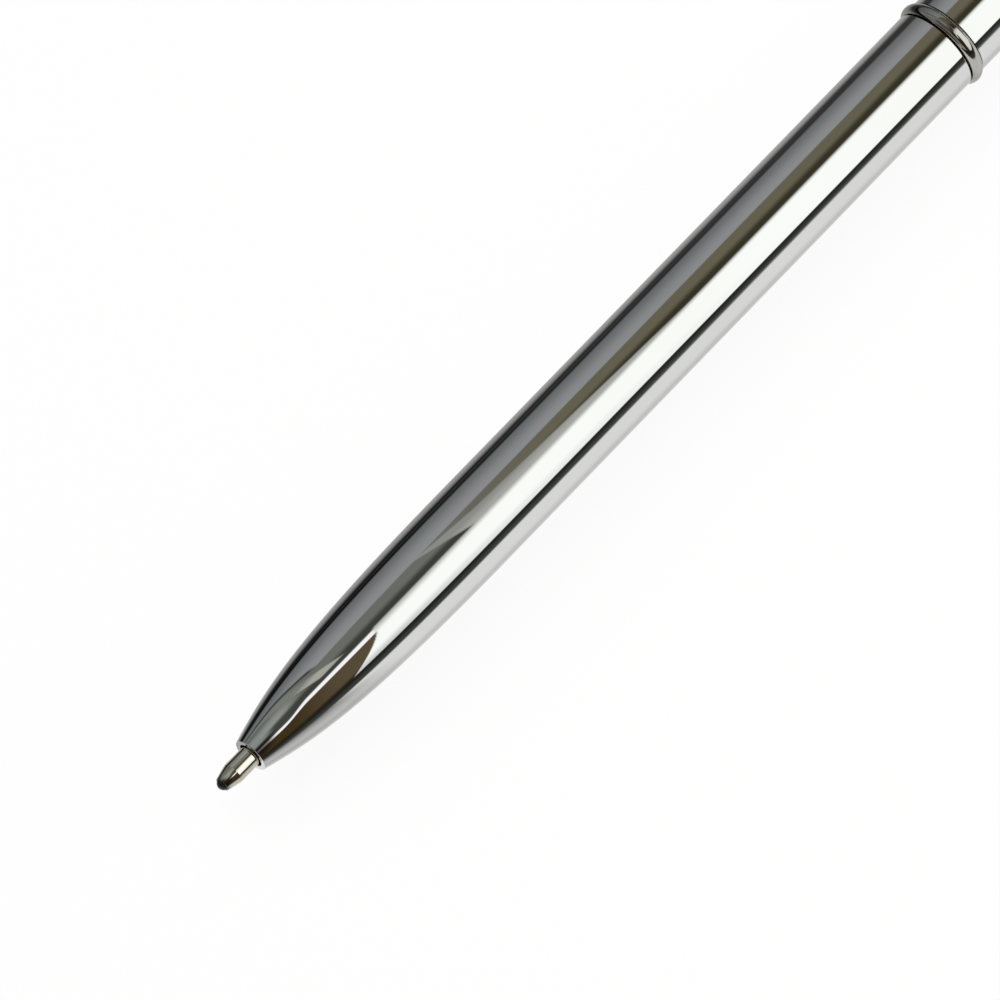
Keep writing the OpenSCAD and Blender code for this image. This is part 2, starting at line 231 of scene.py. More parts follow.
def rounded(path, radii, steps=7):
    """Inner corners of a path, each as an arc that touches both of its sides.

    The arc's centre lies on the corner's bisector, radius / sin(half angle) away. One more
    point on each side, a third of a radius off the arc, keeps the straight parts straight.
    """
    path = np.asarray(path, float)
    r = np.asarray(radii, float)[:, None]
    corner = path[1:-1]
    back, ahead = path[:-2] - corner, path[2:] - corner
    back /= np.linalg.norm(back, axis=1, keepdims=True)
    ahead /= np.linalg.norm(ahead, axis=1, keepdims=True)
    half = np.arccos(np.clip((back * ahead).sum(1, keepdims=True), -1, 1)) / 2
    middle = back + ahead
    centre = corner + middle / np.linalg.norm(middle, axis=1, keepdims=True) * r / np.sin(half)
    start, end = corner + back * r / np.tan(half), corner + ahead * r / np.tan(half)
    arm, goal = start - centre, end - centre
    way = np.sign(arm[:, :1] * goal[:, 1:] - arm[:, 1:] * goal[:, :1])
    a = np.linspace(0, 1, steps) * (math.pi - 2 * half) * way
    x, y = arm[:, :1], arm[:, 1:]
    arc = np.stack([x * np.cos(a) - y * np.sin(a), x * np.sin(a) + y * np.cos(a)], -1)
    points = [start[:, None] + back[:, None] * r[:, None] / 3,
              centre[:, None] + arc,
              end[:, None] + ahead[:, None] * r[:, None] / 3]
    return np.concatenate(points, 1).reshape(-1, 2)


def loop(corners, radii, steps=7):
    """A closed outline with every corner rounded."""
    return rounded([corners[-1], *corners, corners[0]], radii, steps)


# Surfaces and meshes

def turned(outline, sides=SIDES):
    """Grid of an outline swung round the pen's axis: (x, y0 + r cos v, z0 + r sin v)."""
    v = np.linspace(0, 2 * math.pi, sides, endpoint=False)
    x, r = outline[:, :1], outline[:, 1:]
    return np.stack([x + 0 * v, AXIS_Y + r * np.cos(v), AXIS_Z + r * np.sin(v)], -1)


def grid_faces(rows, columns, close_rows=False, close_columns=False):
    """Four-sided faces between neighbours of a grid counted row by row; a closed axis wraps."""
    i = np.arange(rows if close_rows else rows - 1)[:, None]
    j = np.arange(columns if close_columns else columns - 1)[None, :]
    near, far = i * columns, (i + 1) % rows * columns
    turn = (j + 1) % columns
    return np.stack([near + j, far + j, far + turn, near + turn], -1).reshape(-1, 4).tolist()


def sheet_mesh(name, grid):
    """Mesh over an open grid."""
    mesh = bpy.data.meshes.new(name)
    mesh.from_pydata(grid.reshape(-1, 3).tolist(), [], grid_faces(*grid.shape[:2]))
    return mesh


def closed_mesh(name, grid, poles=None):
    """Closed mesh over a grid that closes across its second axis.

    Its first axis closes too, or ends in two single points, the poles.
    """
    rows, columns = grid.shape[:2]
    faces = grid_faces(rows, columns, close_rows=poles is None, close_columns=True)
    points = grid.reshape(-1, 3)
    if poles is not None:
        points = np.vstack([points, poles])
        first, last = rows * columns, (rows - 1) * columns
        edge = np.arange(columns)
        follow = (edge + 1) % columns
        faces += np.stack([0 * edge + first, edge, follow], -1).tolist()
        faces += np.stack([0 * edge + first + 1, last + follow, last + edge], -1).tolist()
    mesh = bpy.data.meshes.new(name)
    mesh.from_pydata(points.tolist(), [], faces)
    shell = bmesh.new()
    shell.from_mesh(mesh)
    if shell.calc_volume(signed=True) < 0:
        bmesh.ops.reverse_faces(shell, faces=shell.faces)
        shell.to_mesh(mesh)
    shell.free()
    mesh.shade_smooth()
    mesh.validate()
    return mesh


def place(name, mesh, material):
    """A new object at the origin with its material."""
    piece = bpy.data.objects.new(name, mesh)
    bpy.context.scene.collection.objects.link(piece)
    mesh.materials.append(material)
    return piece


def turned_piece(name, outline, material, body, node, poles=None, sides=SIDES):
    """A turned piece that rides on a body and stands for a CAD node."""
    ends = None if poles is None else [(x, AXIS_Y, AXIS_Z) for x in poles]
    piece = place(name, closed_mesh(name, turned(outline, sides), ends), material)
    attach(piece, body)
    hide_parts(node)
    return piece


# Materials

def feed(tree, node, sockets):
    """Give a node's sockets a value each, or a link from another node's output."""
    for key, value in sockets.items():
        if isinstance(value, bpy.types.NodeSocket):
            tree.links.new(value, node.inputs[key])
        else:
            node.inputs[key].default_value = value


def add(tree, kind, sockets=None, **settings):
    """Add a node with its settings, values and links."""
    node = tree.nodes.new(kind)
    for key, value in settings.items():
        setattr(node, key, value)
    feed(tree, node, sockets or {})
    return node


def coat(tree, shader, shade, gloss, bump, **constants):
    """Give a shader its constants, colour, roughness and bump."""
    feed(tree, shader, {**constants, "Base Color": shade.outputs["Result"],
                        "Roughness": gloss.outputs["Result"], "Normal": bump.outputs["Normal"]})


def material_once(name):
    """The material of that name; if it is new, also its node tree and Principled shader.

    The frame's flat materials have the slots' names, so no name here is a slot's.
    """
    found = bpy.data.materials.get(name)
    if found:
        return found, None, None
    made = bpy.data.materials.new(name)
    made.use_nodes = True
    return made, made.node_tree, made.node_tree.nodes["Principled BSDF"]


def stage_material(name):
    """A new material for the stage, and its empty node tree."""
    made = bpy.data.materials.new(name)
    made.use_nodes = True
    made.node_tree.nodes.clear()
    return made, made.node_tree


def per(millimetres):
    """Texture scale at which one cell of a pattern has that size."""
    return 1 / (millimetres * MM)


def bands(millimetres):
    """Wave texture scale at which one band has that size: its phase is 20 times the distance."""
    return 2 * math.pi / (20 * millimetres * MM)


def pen_coordinates(tree, stretch=(1, 1, 1)):
    """Object coordinates from the pen's axis, stretched along X, Y and Z."""
    place_in = add(tree, "ShaderNodeTexCoord").outputs["Object"]
    moved = add(tree, "ShaderNodeMapping", {
        "Vector": place_in, "Location": (0, -AXIS_Y, -AXIS_Z)})
    return add(tree, "ShaderNodeMapping", {
        "Vector": moved.outputs["Vector"], "Scale": stretch}).outputs["Vector"]


def chrome_plate(finishes):
    """Bright chromium over buffed brass.

    The eye gets a neutral mirror, a faint wave in long reflections from the buffing wheel, and
    hairlines along the barrel that only soften the highlights.
    """
    chrome, tree, shader = material_once("polished_chrome_plate")
    if tree is None:
        return chrome
    buffing = add(tree, "ShaderNodeTexNoise", {
        "Vector": pen_coordinates(tree), "Scale": per(7.0), "Detail": 2.0, "Roughness": 0.4})
    # Real hairlines are some microns wide; these are drawn at 0.15 mm so that they show.
    hairlines = add(tree, "ShaderNodeTexNoise", {
        "Vector": pen_coordinates(tree, (0.02, 1, 1)), "Scale": per(0.15), "Detail": 3.0})
    shade = add(tree, "ShaderNodeMix", {
        "Factor": buffing.outputs["Fac"], "A": finishes.chrome, "B": finishes.chrome_deep},
        data_type="RGBA")
    gloss = add(tree, "ShaderNodeMapRange", {
        "Value": hairlines.outputs["Fac"], "From Min": 0.35, "From Max": 0.75,
        "To Min": 0.008, "To Max": 0.022})
    bump = add(tree, "ShaderNodeBump", {
        "Height": buffing.outputs["Fac"], "Strength": 1.0, "Distance": 0.0012 * MM})
    coat(tree, shader, shade, gloss, bump, Metallic=1.0)
    return chrome


def turned_metal(name, fresh, dull, pitch, smooth, rough, relief, stain=None):
    """Bare metal cut on a lathe: rings of one pitch, and dull patches from handling.

    Pitch and relief are in millimetres. A stain is a colour and the two places along the pen
    between which it fades.
    """
    metal, tree, shader = material_once(name)
    if tree is None:
        return metal
    where = pen_coordinates(tree)
    rings = add(tree, "ShaderNodeTexWave", {
        "Vector": where, "Scale": bands(pitch), "Distortion": 0.6, "Detail": 1.0},
        wave_type="BANDS", bands_direction="X")
    patches = add(tree, "ShaderNodeTexNoise", {
        "Vector": where, "Scale": per(2.2), "Detail": 4.0, "Roughness": 0.6})
    dullness = add(tree, "ShaderNodeMapRange", {
        "Value": patches.outputs["Fac"], "From Min": 0.45, "From Max": 0.75})
    shade = add(tree, "ShaderNodeMix", {
        "Factor": dullness.outputs["Result"], "A": fresh, "B": dull}, data_type="RGBA")
    if stain:
        stain_colour, start, end = stain
        place_x = add(tree, "ShaderNodeSeparateXYZ", {"Vector": where}).outputs["X"]
        left = add(tree, "ShaderNodeMapRange", {
            "Value": place_x, "From Min": start, "From Max": end,
            "To Min": 1.0, "To Max": 0.0}, interpolation_type="SMOOTHSTEP")
        shade = add(tree, "ShaderNodeMix", {
            "Factor": left.outputs["Result"], "A": shade.outputs["Result"], "B": stain_colour},
            data_type="RGBA")
    gloss = add(tree, "ShaderNodeMapRange", {
        "Value": patches.outputs["Fac"], "From Min": 0.3, "From Max": 0.7,
        "To Min": smooth, "To Max": rough})
    bump = add(tree, "ShaderNodeBump", {
        "Height": rings.outputs["Fac"], "Strength": 1.0, "Distance": relief * MM})
    coat(tree, shader, shade, gloss, bump, Metallic=1.0)
    return metal


def turned_brass(finishes):
    """Free-cutting brass, turned: warm yellow with fine rings and a few darkened patches."""
    return turned_metal("turned_brass", finishes.brass, finishes.brass_dull,
                        pitch=0.14, smooth=0.18, rough=0.34, relief=0.0015)


def nickel_silver(finishes, lip):
    """Nickel silver, turned and tumbled: pale straw-coloured metal, nearly a mirror.

    Ink has dried on it round the ball, so that the end looks dark.
    """
    return turned_metal("turned_nickel_silver", finishes.nickel, finishes.nickel_dull,
                        pitch=0.1, smooth=0.05, rough=0.1, relief=0.0003,
                        stain=(finishes.ink_dry, lip - 0.2 * MM, lip + 0.45 * MM))


def nickel_plate(finishes):
    """Nickel plate on the turned ring: a warmer and darker mirror than the chrome beside it. Its
    darkness is partly the plate's own and partly painted shade, standing in for the darker
    reflections on the bead.
    """
    return turned_metal("bright_nickel_plate", finishes.ring, finishes.ring_dull,
                        pitch=0.1, smooth=0.05, rough=0.09, relief=0.0003)


def spring_steel(finishes):
    """Oiled spring steel: grey and satin, with grinding lines."""
    return turned_metal("oiled_spring_steel", finishes.steel, finishes.steel_dull,
                        pitch=0.12, smooth=0.25, rough=0.42, relief=0.001)


def drawn_tube(finishes):
    """Nickel-plated drawn brass tube: satin, with draw lines along its length."""
    tube, tree, shader = material_once("drawn_tube")
    if tree is None:
        return tube
    # Draw lines are a few hundredths wide; 0.12 mm lets them show.
    lines = add(tree, "ShaderNodeTexNoise", {
        "Vector": pen_coordinates(tree, (0.015, 1, 1)), "Scale": per(0.12), "Detail": 3.0})
    shade = add(tree, "ShaderNodeMix", {
        "Factor": lines.outputs["Fac"], "A": finishes.tube, "B": finishes.tube_dull},
        data_type="RGBA")
    gloss = add(tree, "ShaderNodeMapRange", {
        "Value": lines.outputs["Fac"], "To Min": 0.18, "To Max": 0.36})
    bump = add(tree, "ShaderNodeBump", {
        "Height": lines.outputs["Fac"], "Strength": 1.0, "Distance": 0.002 * MM})
    coat(tree, shader, shade, gloss, bump, Metallic=1.0)
    return tube


def inked_carbide(finishes):
    """Ground tungsten carbide under a film of ink: nearly black and wet, with a few bare specks."""
    carbide, tree, shader = material_once("inked_carbide")
    if tree is None:
        return carbide
    film = add(tree, "ShaderNodeTexNoise", {
        "Vector": pen_coordinates(tree), "Scale": per(0.35), "Detail": 3.0})
    bare = add(tree, "ShaderNodeMapRange", {
        "Value": film.outputs["Fac"], "From Min": 0.68, "From Max": 0.74})
    shade = add(tree, "ShaderNodeMix", {
        "Factor": bare.outputs["Result"], "A": finishes.ink_dry, "B": finishes.carbide},
        data_type="RGBA")
    gloss = add(tree, "ShaderNodeMapRange", {
        "Value": bare.outputs["Result"], "To Min": 0.08, "To Max": 0.2})
    feed(tree, shader, {
        "Base Color": shade.outputs["Result"], "Metallic": bare.outputs["Result"],
        "Roughness": gloss.outputs["Result"]})
    return carbide


def moulded(name, main, other, cell, smooth, rough, relief):
    """Moulded polymer: soft shade changes along the flow, and a fine grain.

    Cell, the width of a shade change, and relief are in millimetres.
    """
    polymer, tree, shader = material_once(name)
    if tree is None:
        return polymer
    flow = add(tree, "ShaderNodeTexNoise", {
        "Vector": pen_coordinates(tree, (0.35, 1, 1)), "Scale": per(cell), "Detail": 4.0})
    # The mould's grain is finer than this; 0.2 mm lets it show.
    grain = add(tree, "ShaderNodeTexNoise", {
        "Vector": pen_coordinates(tree), "Scale": per(0.2), "Detail": 2.0})
    shade = add(tree, "ShaderNodeMix", {
        "Factor": flow.outputs["Fac"], "A": main, "B": other}, data_type="RGBA")
    gloss = add(tree, "ShaderNodeMapRange", {
        "Value": flow.outputs["Fac"], "From Min": 0.3, "From Max": 0.7,
        "To Min": smooth, "To Max": rough})
    bump = add(tree, "ShaderNodeBump", {
        "Height": grain.outputs["Fac"], "Strength": 1.0, "Distance": relief * MM})
    coat(tree, shader, shade, gloss, bump, IOR=1.48)
    return polymer


def natural_acetal(finishes):
    """Natural acetal: milky white and waxy, with faint flow lines."""
    return moulded("natural_acetal", finishes.acetal, finishes.acetal_grey,
                   cell=1.6, smooth=0.3, rough=0.45, relief=0.004)


def nitrile_rubber(finishes):
    """Moulded nitrile rubber: nearly black and matt, with a grey bloom."""
    return moulded("moulded_nitrile_rubber", finishes.rubber, finishes.rubber_bloom,
                   cell=0.5, smooth=0.55, rough=0.75, relief=0.006)


def ink_paste(finishes):
    """Oil-based ink paste: deep blue and wet."""
    return moulded("ink_paste", finishes.ink, finishes.ink_thin,
                   cell=1.2, smooth=0.06, rough=0.14, relief=0.002)


# Studio light. For the tent, a is an angle from straight up in degrees, greater to the front,
# and x is a place along the pen in millimetres.

def soft(low, high, value):
    """Smooth step from 0 at low to 1 at high."""
    t = np.clip((value - low) / (high - low), 0, 1)
    return t * t * (3 - 2 * t)


def plain(hex_code):
    """One colour as linear red, green and blue."""
    return np.array(colour(hex_code)[:3])


def shade_between(first, second, share):
    """Colours from one hex value to another, by a share for each point."""
    return plain(first) + (plain(second) - plain(first)) * share[..., None]


def over(under, top, mask):
    """One colour over another, by a mask for each point."""
    return under + (top - under) * mask[..., None]


def tent_roof(a, x):
    """The grey roof: darker to the front, olive towards the pen's top and paler past its point.

    Two lit folds lie on it, each between two slanting edges.
    """
    front = soft(-10, 5, a)
    light = over(shade_between("696B66", "3C3D38", front),
                 shade_between("64604F", "353226", front), soft(72, 100, x))
    pale = over(shade_between("636663", "8E918B", soft(-46, -12, a)), plain("42443F"), front)
    light = over(light, pale, 1 - soft(-90, -40, x))
    low, high = -31 + 1.25 * a, -2.3 + 1.15 * a
    fold = soft(low - 4, low + 4, x) * (1 - soft(high - 3, high + 3, x)) * (1 - soft(3, 9, a))
    light = over(light, shade_between("767A75", "A4A49A", soft(-25, -6, a)), fold)
    low, side = 75.8 + 0.45 * a, 0.875 * x - 85.9
    fold = soft(low - 0.8, low + 0.8, x) * soft(side - 2.5, side + 2.5, a)
    return over(light, shade_between("8B8C88", "A6A6A1", soft(-8, 13, a)), fold)


def add_rear_cloth(light, a, x):
    """The cool cloth behind the pen, which draws back past the point, and its dark edge there."""
    end = -28 - 0.586 * np.maximum(-11 - x, 0)
    light = over(light, shade_between("64686A", "8A8B8D", soft(-84, -32, a)),
                 1 - soft(end - 1.6, end + 1.6, a))
    edge = end - 1.6 + 0.3 * np.maximum(-52 - x, 0)
    return over(light, plain("2A2D2F"),
                np.exp(-((a - edge) / 4.5) ** 2) * (1 - soft(-20, -9, x)))


def add_front(light, a, x):
    """The brown board in front, the white panel beyond a curved sill, and a strip light."""
    board = over(shade_between("3D311A", "564A38", soft(-90, 12, x)), plain("282213"),
                 soft(62, 74, a))
    light = over(light, board, soft(27, 30, a))
    beside = np.maximum(a - 31, 0)
    sill = 29 - 0.22 * beside - 0.0075 * beside ** 2
    beyond = soft(sill - 1, sill + 1, x)
    dim = 1 - soft(30, 140, x)
    white = shade_between("AEAFAB", "FBFDFA", soft(13, 22 + 11 * dim, a))
    white = over(white, plain("CDCFD0"), dim * soft(54, 71, a))
    light = over(light, white, soft(11.5, 17, a) * beyond)
    left = 15 + 9.5 * (1 - soft(-90, -48, x))
    right = 26.3 + 9 * (1 - soft(-100, -50, x))
    strip = soft(left, left + 5, a) * (1 - soft(right, right + 2.2, a))
    return over(light, plain("F7F5F7"), strip * (1 - beyond))


def add_far_end(light, a, x):
    """A dim stretch past the point, then a pale end with a dark runner overhead that thins out."""
    light = over(light, shade_between("838B89", "17120C", soft(4, 17, a)),
                 1 - soft(-126, -104, x))
    light = over(light, shade_between("78746F", "9C9C99", soft(-10, 40, a)),
                 1 - soft(-230, -180, x))
    runner = (1 - soft(-150, -132, x)) * (0.5 + 0.5 * soft(-300, -230, x))
    runner = runner * soft(-44, -26, a) * (1 - soft(50, 70, a))
    return over(light, shade_between("4A443E", "2A2018", soft(4, 17, a)), runner)


def add_hems(light, a, x):
    """Dark hems at both feet; the front one gets lower towards the pen's top."""
    light = over(light, shade_between("080A0A", "323330", soft(50, 150, x)),
                 1 - soft(-87, -78.5, a))
    hem = 72.6 + 0.028 * (np.clip(x, 12, 150) - 12)
    return over(light, shade_between("20221C", "393B38", soft(78, 90, a)),
                soft(hem - 1.5, hem + 1.5, a))


def tent_light(a, x):
    """Colour of the studio tent: each area lies over those before it, by a mask of smooth steps.

    It leans to the front by 1.3 degrees, and by one more past the point.
    """
    a = a - 1.3 - (1 - soft(-100, -45, x))
    light = tent_roof(a, x)
    for add_area in (add_rear_cloth, add_front, add_far_end, add_hems):
        light = add_area(light, a, x)
    return light


# Operators

class PEN_OT_barrels(bpy.types.Operator):
    """Build the lower barrel with its bullet nose, and the upper barrel"""
    bl_idname = "pen.barrels"
    bl_label = "Barrels"

    def execute(self, context):
        s, chrome = context.scene.pen_sizes, chrome_plate(context.scene.pen_finishes)
        rim, seam = along("lower_barrel")
        foot = rim + s.rim_round
        lean = math.atan(s.nose_slope)
        rim_centre = (foot, s.rim_radius - s.rim_round / math.cos(lean))
        front = ellipse(rim_centre, (s.rim_round, s.rim_round),
                        180, 90 + math.degrees(lean), steps=14)
        nose = bezier(
            (foot, s.rim_radius),
            (foot + s.nose_front, s.rim_radius + s.nose_slope * s.nose_front),
            (rim + s.nose_length - s.nose_rear, s.barrel_radius),
            (rim + s.nose_length, s.barrel_radius), steps=96)
        guide_end = rim + s.guide_length
        cone_end = guide_end + s.bore_radius - s.guide_radius
        cone_round = 6 * s.inner_round
        inside = rounded(
            [nose[-1], (seam, s.barrel_radius), (seam, s.bore_radius),
             (cone_end, s.bore_radius), (guide_end, s.guide_radius),
             (rim + s.nose_land, s.guide_radius), (rim + s.nose_land, s.nose_hole),
             (rim, s.nose_hole), front[0]],
            [s.edge_round, s.inner_round, cone_round, cone_round,
             s.inner_round, s.inner_round, s.inner_round])
        turned_piece("lower_barrel_shell", np.vstack([front, nose, inside]), chrome,
                     "lower", "lower_barrel")
        start, end = along("upper_barrel")
        tube = loop([(start, s.bore_radius), (start, s.barrel_radius),
                     (end, s.barrel_radius), (end, s.bore_radius)],
                    [s.inner_round, s.seam_round, s.edge_round, s.inner_round])
        turned_piece("upper_barrel_tube", tube, chrome, "upper", "upper_barrel")
        return {"FINISHED"}


class PEN_OT_ring_and_finial(bpy.types.Operator):
    """Build the bead between the barrels and the domed top"""
    bl_idname = "pen.ring_and_finial"
    bl_label = "Centre ring and finial"

    def execute(self, context):
        s, chrome = context.scene.pen_sizes, chrome_plate(context.scene.pen_finishes)
        start, end = along("centre_ring")
        start = start + s.ring_relief
        half, middle = (end - start) / 2, (start + end) / 2
        # A bow through both edges and the top, 2 degrees short for the edges' rounding.
        bead = (half ** 2 + s.ring_rise ** 2) / (2 * s.ring_rise)
        swing = math.degrees(math.asin(half / bead)) - 2
        crown = ellipse((middle, s.barrel_radius + s.ring_rise - bead), (bead, bead),
                        90 + swing, 90 - swing, steps=40)
        sides = rounded(
            [crown[-1], (end, s.barrel_radius), (end, s.ring_bore),
             (start, s.ring_bore), (start, s.barrel_radius), crown[0]],
            [s.seam_round, s.inner_round, s.inner_round, s.seam_round])
        turned_piece("centre_ring_bead", np.vstack([crown, sides]),
                     nickel_plate(context.scene.pen_finishes),
                     "mechanism", "centre_ring")
        start, end = along("finial")
        hole_end = start + s.stud_depth
        foot = rounded(
            [(hole_end, 0), (hole_end, s.stud_hole), (start, s.stud_hole),
             (start, s.barrel_radius), (end - s.finial_dome, s.barrel_radius)],
            [s.inner_round, s.inner_round, s.edge_round])
        # The dome's last degree is left to its pole.
        dome = ellipse((end - s.finial_dome, 0), (s.finial_dome, s.barrel_radius),
                       90, 1.2, steps=60)
        turned_piece("finial_dome", np.vstack([foot, dome]), chrome,
                     "upper", "finial", poles=(hole_end, end))
        return {"FINISHED"}


class PEN_OT_clip(bpy.types.Operator):
    """Build the clip's washer and its sprung strap"""
    bl_idname = "pen.clip"
    bl_label = "Clip"

    # Radius of the bend where the strap comes closest to the barrel.
    NIP_BEND = 12 * MM
    # The strap's section, in half widths and half thicknesses: the rounding of its inner and
    # outer edges, and how far the outer face falls towards them.
    INNER_EDGE, OUTER_EDGE, CROWN = 0.22, 0.5, 0.22

    def execute(self, context):
        s, chrome = context.scene.pen_sizes, chrome_plate(context.scene.pen_finishes)
        start, end = along("clip_base")
        washer = loop([(start, s.stud_hole), (start, s.barrel_radius),
                       (end, s.barrel_radius), (end, s.stud_hole)],
                      [s.inner_round, s.edge_round, s.edge_round, s.inner_round])
        turned_piece("clip_washer", washer, chrome, "upper", "clip_base")
        strap = place("clip_strap", self.strap(s, (start + end) / 2), chrome)
        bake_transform(strap)
        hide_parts("clip_arm")
        return {"FINISHED"}

    @classmethod
    def strap(cls, s, washer_middle):
        """A crowned strip along a path: out of the washer, round a bend and down the barrel.

        At each point of the path the section is half-width times u across the clip and
        half-thickness times w along the path's normal, where the outer face falls by
        crown times u squared. Both shrink along a quarter ellipse to a round toe.
        """
        half = s.clip_thick / 2
        top = s.barrel_radius + s.clip_space + half
        toe_x, arm_x = along("clip_arm")
        nip_x = toe_x + s.clip_toe
        corners = [(washer_middle, s.stud_hole + s.clip_thick), (washer_middle, top),
                   (nip_x, s.barrel_radius + s.clip_nip + half),
                   (toe_x, s.barrel_radius + s.toe_space + half)]
        bends = rounded(corners, [0.9 * s.clip_thick, cls.NIP_BEND], steps=24)
        # The wide bend's last point would lie past the toe.
        path = np.vstack([corners[0], bends[:-1], corners[-1]])
        step = np.r_[0, np.cumsum(np.linalg.norm(np.diff(path, axis=0), axis=1))]
        total, round_off = step[-1], s.clip_end / 2
        near_end = total - round_off * (1 - np.sin(np.linspace(0, math.pi / 2, 28)))
        distance = np.unique(np.r_[step[step < near_end[0]], np.linspace(0, near_end[0], 120),
                                   near_end[:-1]])
        x, r = (np.interp(distance, step, column) for column in path.T)
        # The path's normal, smoothed over the points on both sides.
        along_x, along_r = np.gradient(x, distance), np.gradient(r, distance)
        size = np.hypot(along_x, along_r)
        normal_x, normal_r = along_r / size, -along_x / size
        share = np.clip((arm_x - x) / (arm_x - toe_x), 0, 1)
        taper = np.sqrt(np.clip(1 - ((distance - near_end[0]) / round_off).clip(0) ** 2, 0, 1))
        half_width = (s.clip_width + (s.clip_end - s.clip_width) * share) / 2 * taper
        half_thick = half * (0.5 + 0.5 * taper)
        section = loop([(-1, -1), (1, -1), (1, 1), (-1, 1)],
                       [cls.INNER_EDGE, cls.INNER_EDGE, cls.OUTER_EDGE, cls.OUTER_EDGE], steps=8)
        u, w = section[:, 0], section[:, 1]
        w = w - cls.CROWN * u ** 2 * (w > 0)
        across = half_width[:, None] * u
        lift = half_thick[:, None] * w
        grid = (np.stack([x[:, None] + lift * normal_x[:, None], 0 * across, 0 * across], -1)
                + (r[:, None] + lift * normal_r[:, None])[..., None] * CLIP_OUT
                + across[..., None] * CLIP_ACROSS + (0, AXIS_Y, AXIS_Z))
        ends = [grid[0].mean(0), (toe_x, *(np.array((AXIS_Y, AXIS_Z)) + r[-1] * CLIP_OUT[1:]))]
        return closed_mesh("clip_strap", grid, poles=ends)


class PEN_OT_refill(bpy.types.Operator):
    """Build the ink tube, the writing point and its ball"""
    bl_idname = "pen.refill"
    bl_label = "Refill"

    # Rounding of the tube's bore, its outer edges, its crimp and the point's edges.
    BORE_EDGE, TUBE_EDGE, CRIMP_EDGE, POINT_EDGE = 0.03 * MM, 0.08 * MM, 0.1 * MM, 0.03 * MM
    # The crimp that holds the point: start on the tube, depth, sloping side and floor.
    CRIMP_START, CRIMP_DEPTH, CRIMP_SLOPE, CRIMP_FLOOR = 1 * MM, 0.05 * MM, 0.15 * MM, 0.4 * MM

    def execute(self, context):
        s, finishes = context.scene.pen_sizes, context.scene.pen_finishes
        start, end = along("refill_tube")
        turned_piece("ink_tube", self.tube(s, start, end), drawn_tube(finishes),
                     "refill", "refill_tube", sides=REFILL_SIDES)
        ball_x = sum(along("ball")) / 2
        lip, rear = along("point_body")
        turned_piece("writing_point", self.point(s, ball_x, lip, start, rear),
                     nickel_silver(finishes, lip), "refill", "point_body",
                     sides=REFILL_SIDES)
        globe = ellipse((ball_x, 0), (s.ball_radius, s.ball_radius), 178, 2, steps=60)
        turned_piece("writing_ball", globe, inked_carbide(finishes), "ball", "ball",
                     poles=(ball_x - s.ball_radius, ball_x + s.ball_radius), sides=BALL_SIDES)
        return {"FINISHED"}

    @classmethod
    def tube(cls, s, start, end):
        """Outline of the ink tube, with a crimp behind its front end."""
        waist = s.tube_radius - cls.CRIMP_DEPTH
        crimp = start + cls.CRIMP_START
        floor = crimp + cls.CRIMP_SLOPE
        floor_end = floor + cls.CRIMP_FLOOR
        return loop(
            [(start, s.tube_bore), (start, s.tube_radius), (crimp, s.tube_radius),
             (floor, waist), (floor_end, waist), (floor_end + cls.CRIMP_SLOPE, s.tube_radius),
             (end, s.tube_radius), (end, s.tube_bore)],
            [cls.BORE_EDGE, cls.TUBE_EDGE, *[cls.CRIMP_EDGE] * 4, cls.TUBE_EDGE, cls.BORE_EDGE])

    @classmethod
    def point(cls, s, ball_x, lip, tube_start, rear):
        """Outline of the writing point: cup, lip, cone, straight part, shank and ink channel.

        The cone's radius goes evenly from the lip's to the straight part's, plus a bulge of
        4 t (1 - t) over its length.
        """
        cup = s.ball_radius + s.cup_gap
        mouth = math.degrees(math.acos((lip - ball_x) / cup))
        throat = math.degrees(math.asin(s.feed_radius / cup))
        bowl = ellipse((ball_x, 0), (cup, cup), throat, mouth, steps=30)
        share = np.linspace(0, 1, 24)
        cone = np.stack([lip + s.cone_length * share,
                         s.lip_radius + (s.point_radius - s.lip_radius) * share
                         + s.cone_bulge * 4 * share * (1 - share)], -1)
        fine = cls.POINT_EDGE
        lip_edge = rounded([bowl[-1], cone[0], cone[3]], [fine])
        shank = rounded(
            [cone[-4], cone[-1], (tube_start, s.point_radius), (tube_start, s.shank_radius),
             (rear, s.shank_radius), (rear, s.feed_radius), bowl[0]],
            [4 * fine, fine, fine, fine, fine])
        return np.vstack([bowl, lip_edge, cone[3:-4], shank])


class PEN_OT_mechanism(bpy.types.Operator):
    """Finish the CAD pieces of the twist mechanism, the bushes, the stud and the ink"""
    bl_idname = "pen.mechanism"
    bl_label = "Mechanism finishes"

    def execute(self, context):
        finishes = context.scene.pen_finishes
        finish_of = {
            turned_brass: ("barrel_bush", "mechanism_housing", "top_bush"),
            spring_steel: ("retaining_ring", "finial_stud", "follower_pin"),
            natural_acetal: ("thrust_washer", "cam_sleeve", "plunger"),
            nitrile_rubber: ("drag_ring",),
            ink_paste: ("ink",),
        }
        for finish, nodes in finish_of.items():
            for node in nodes:
                mesh = frame["nodes"][node].data
                mesh.materials.clear()
                mesh.materials.append(finish(finishes))
        return {"FINISHED"}


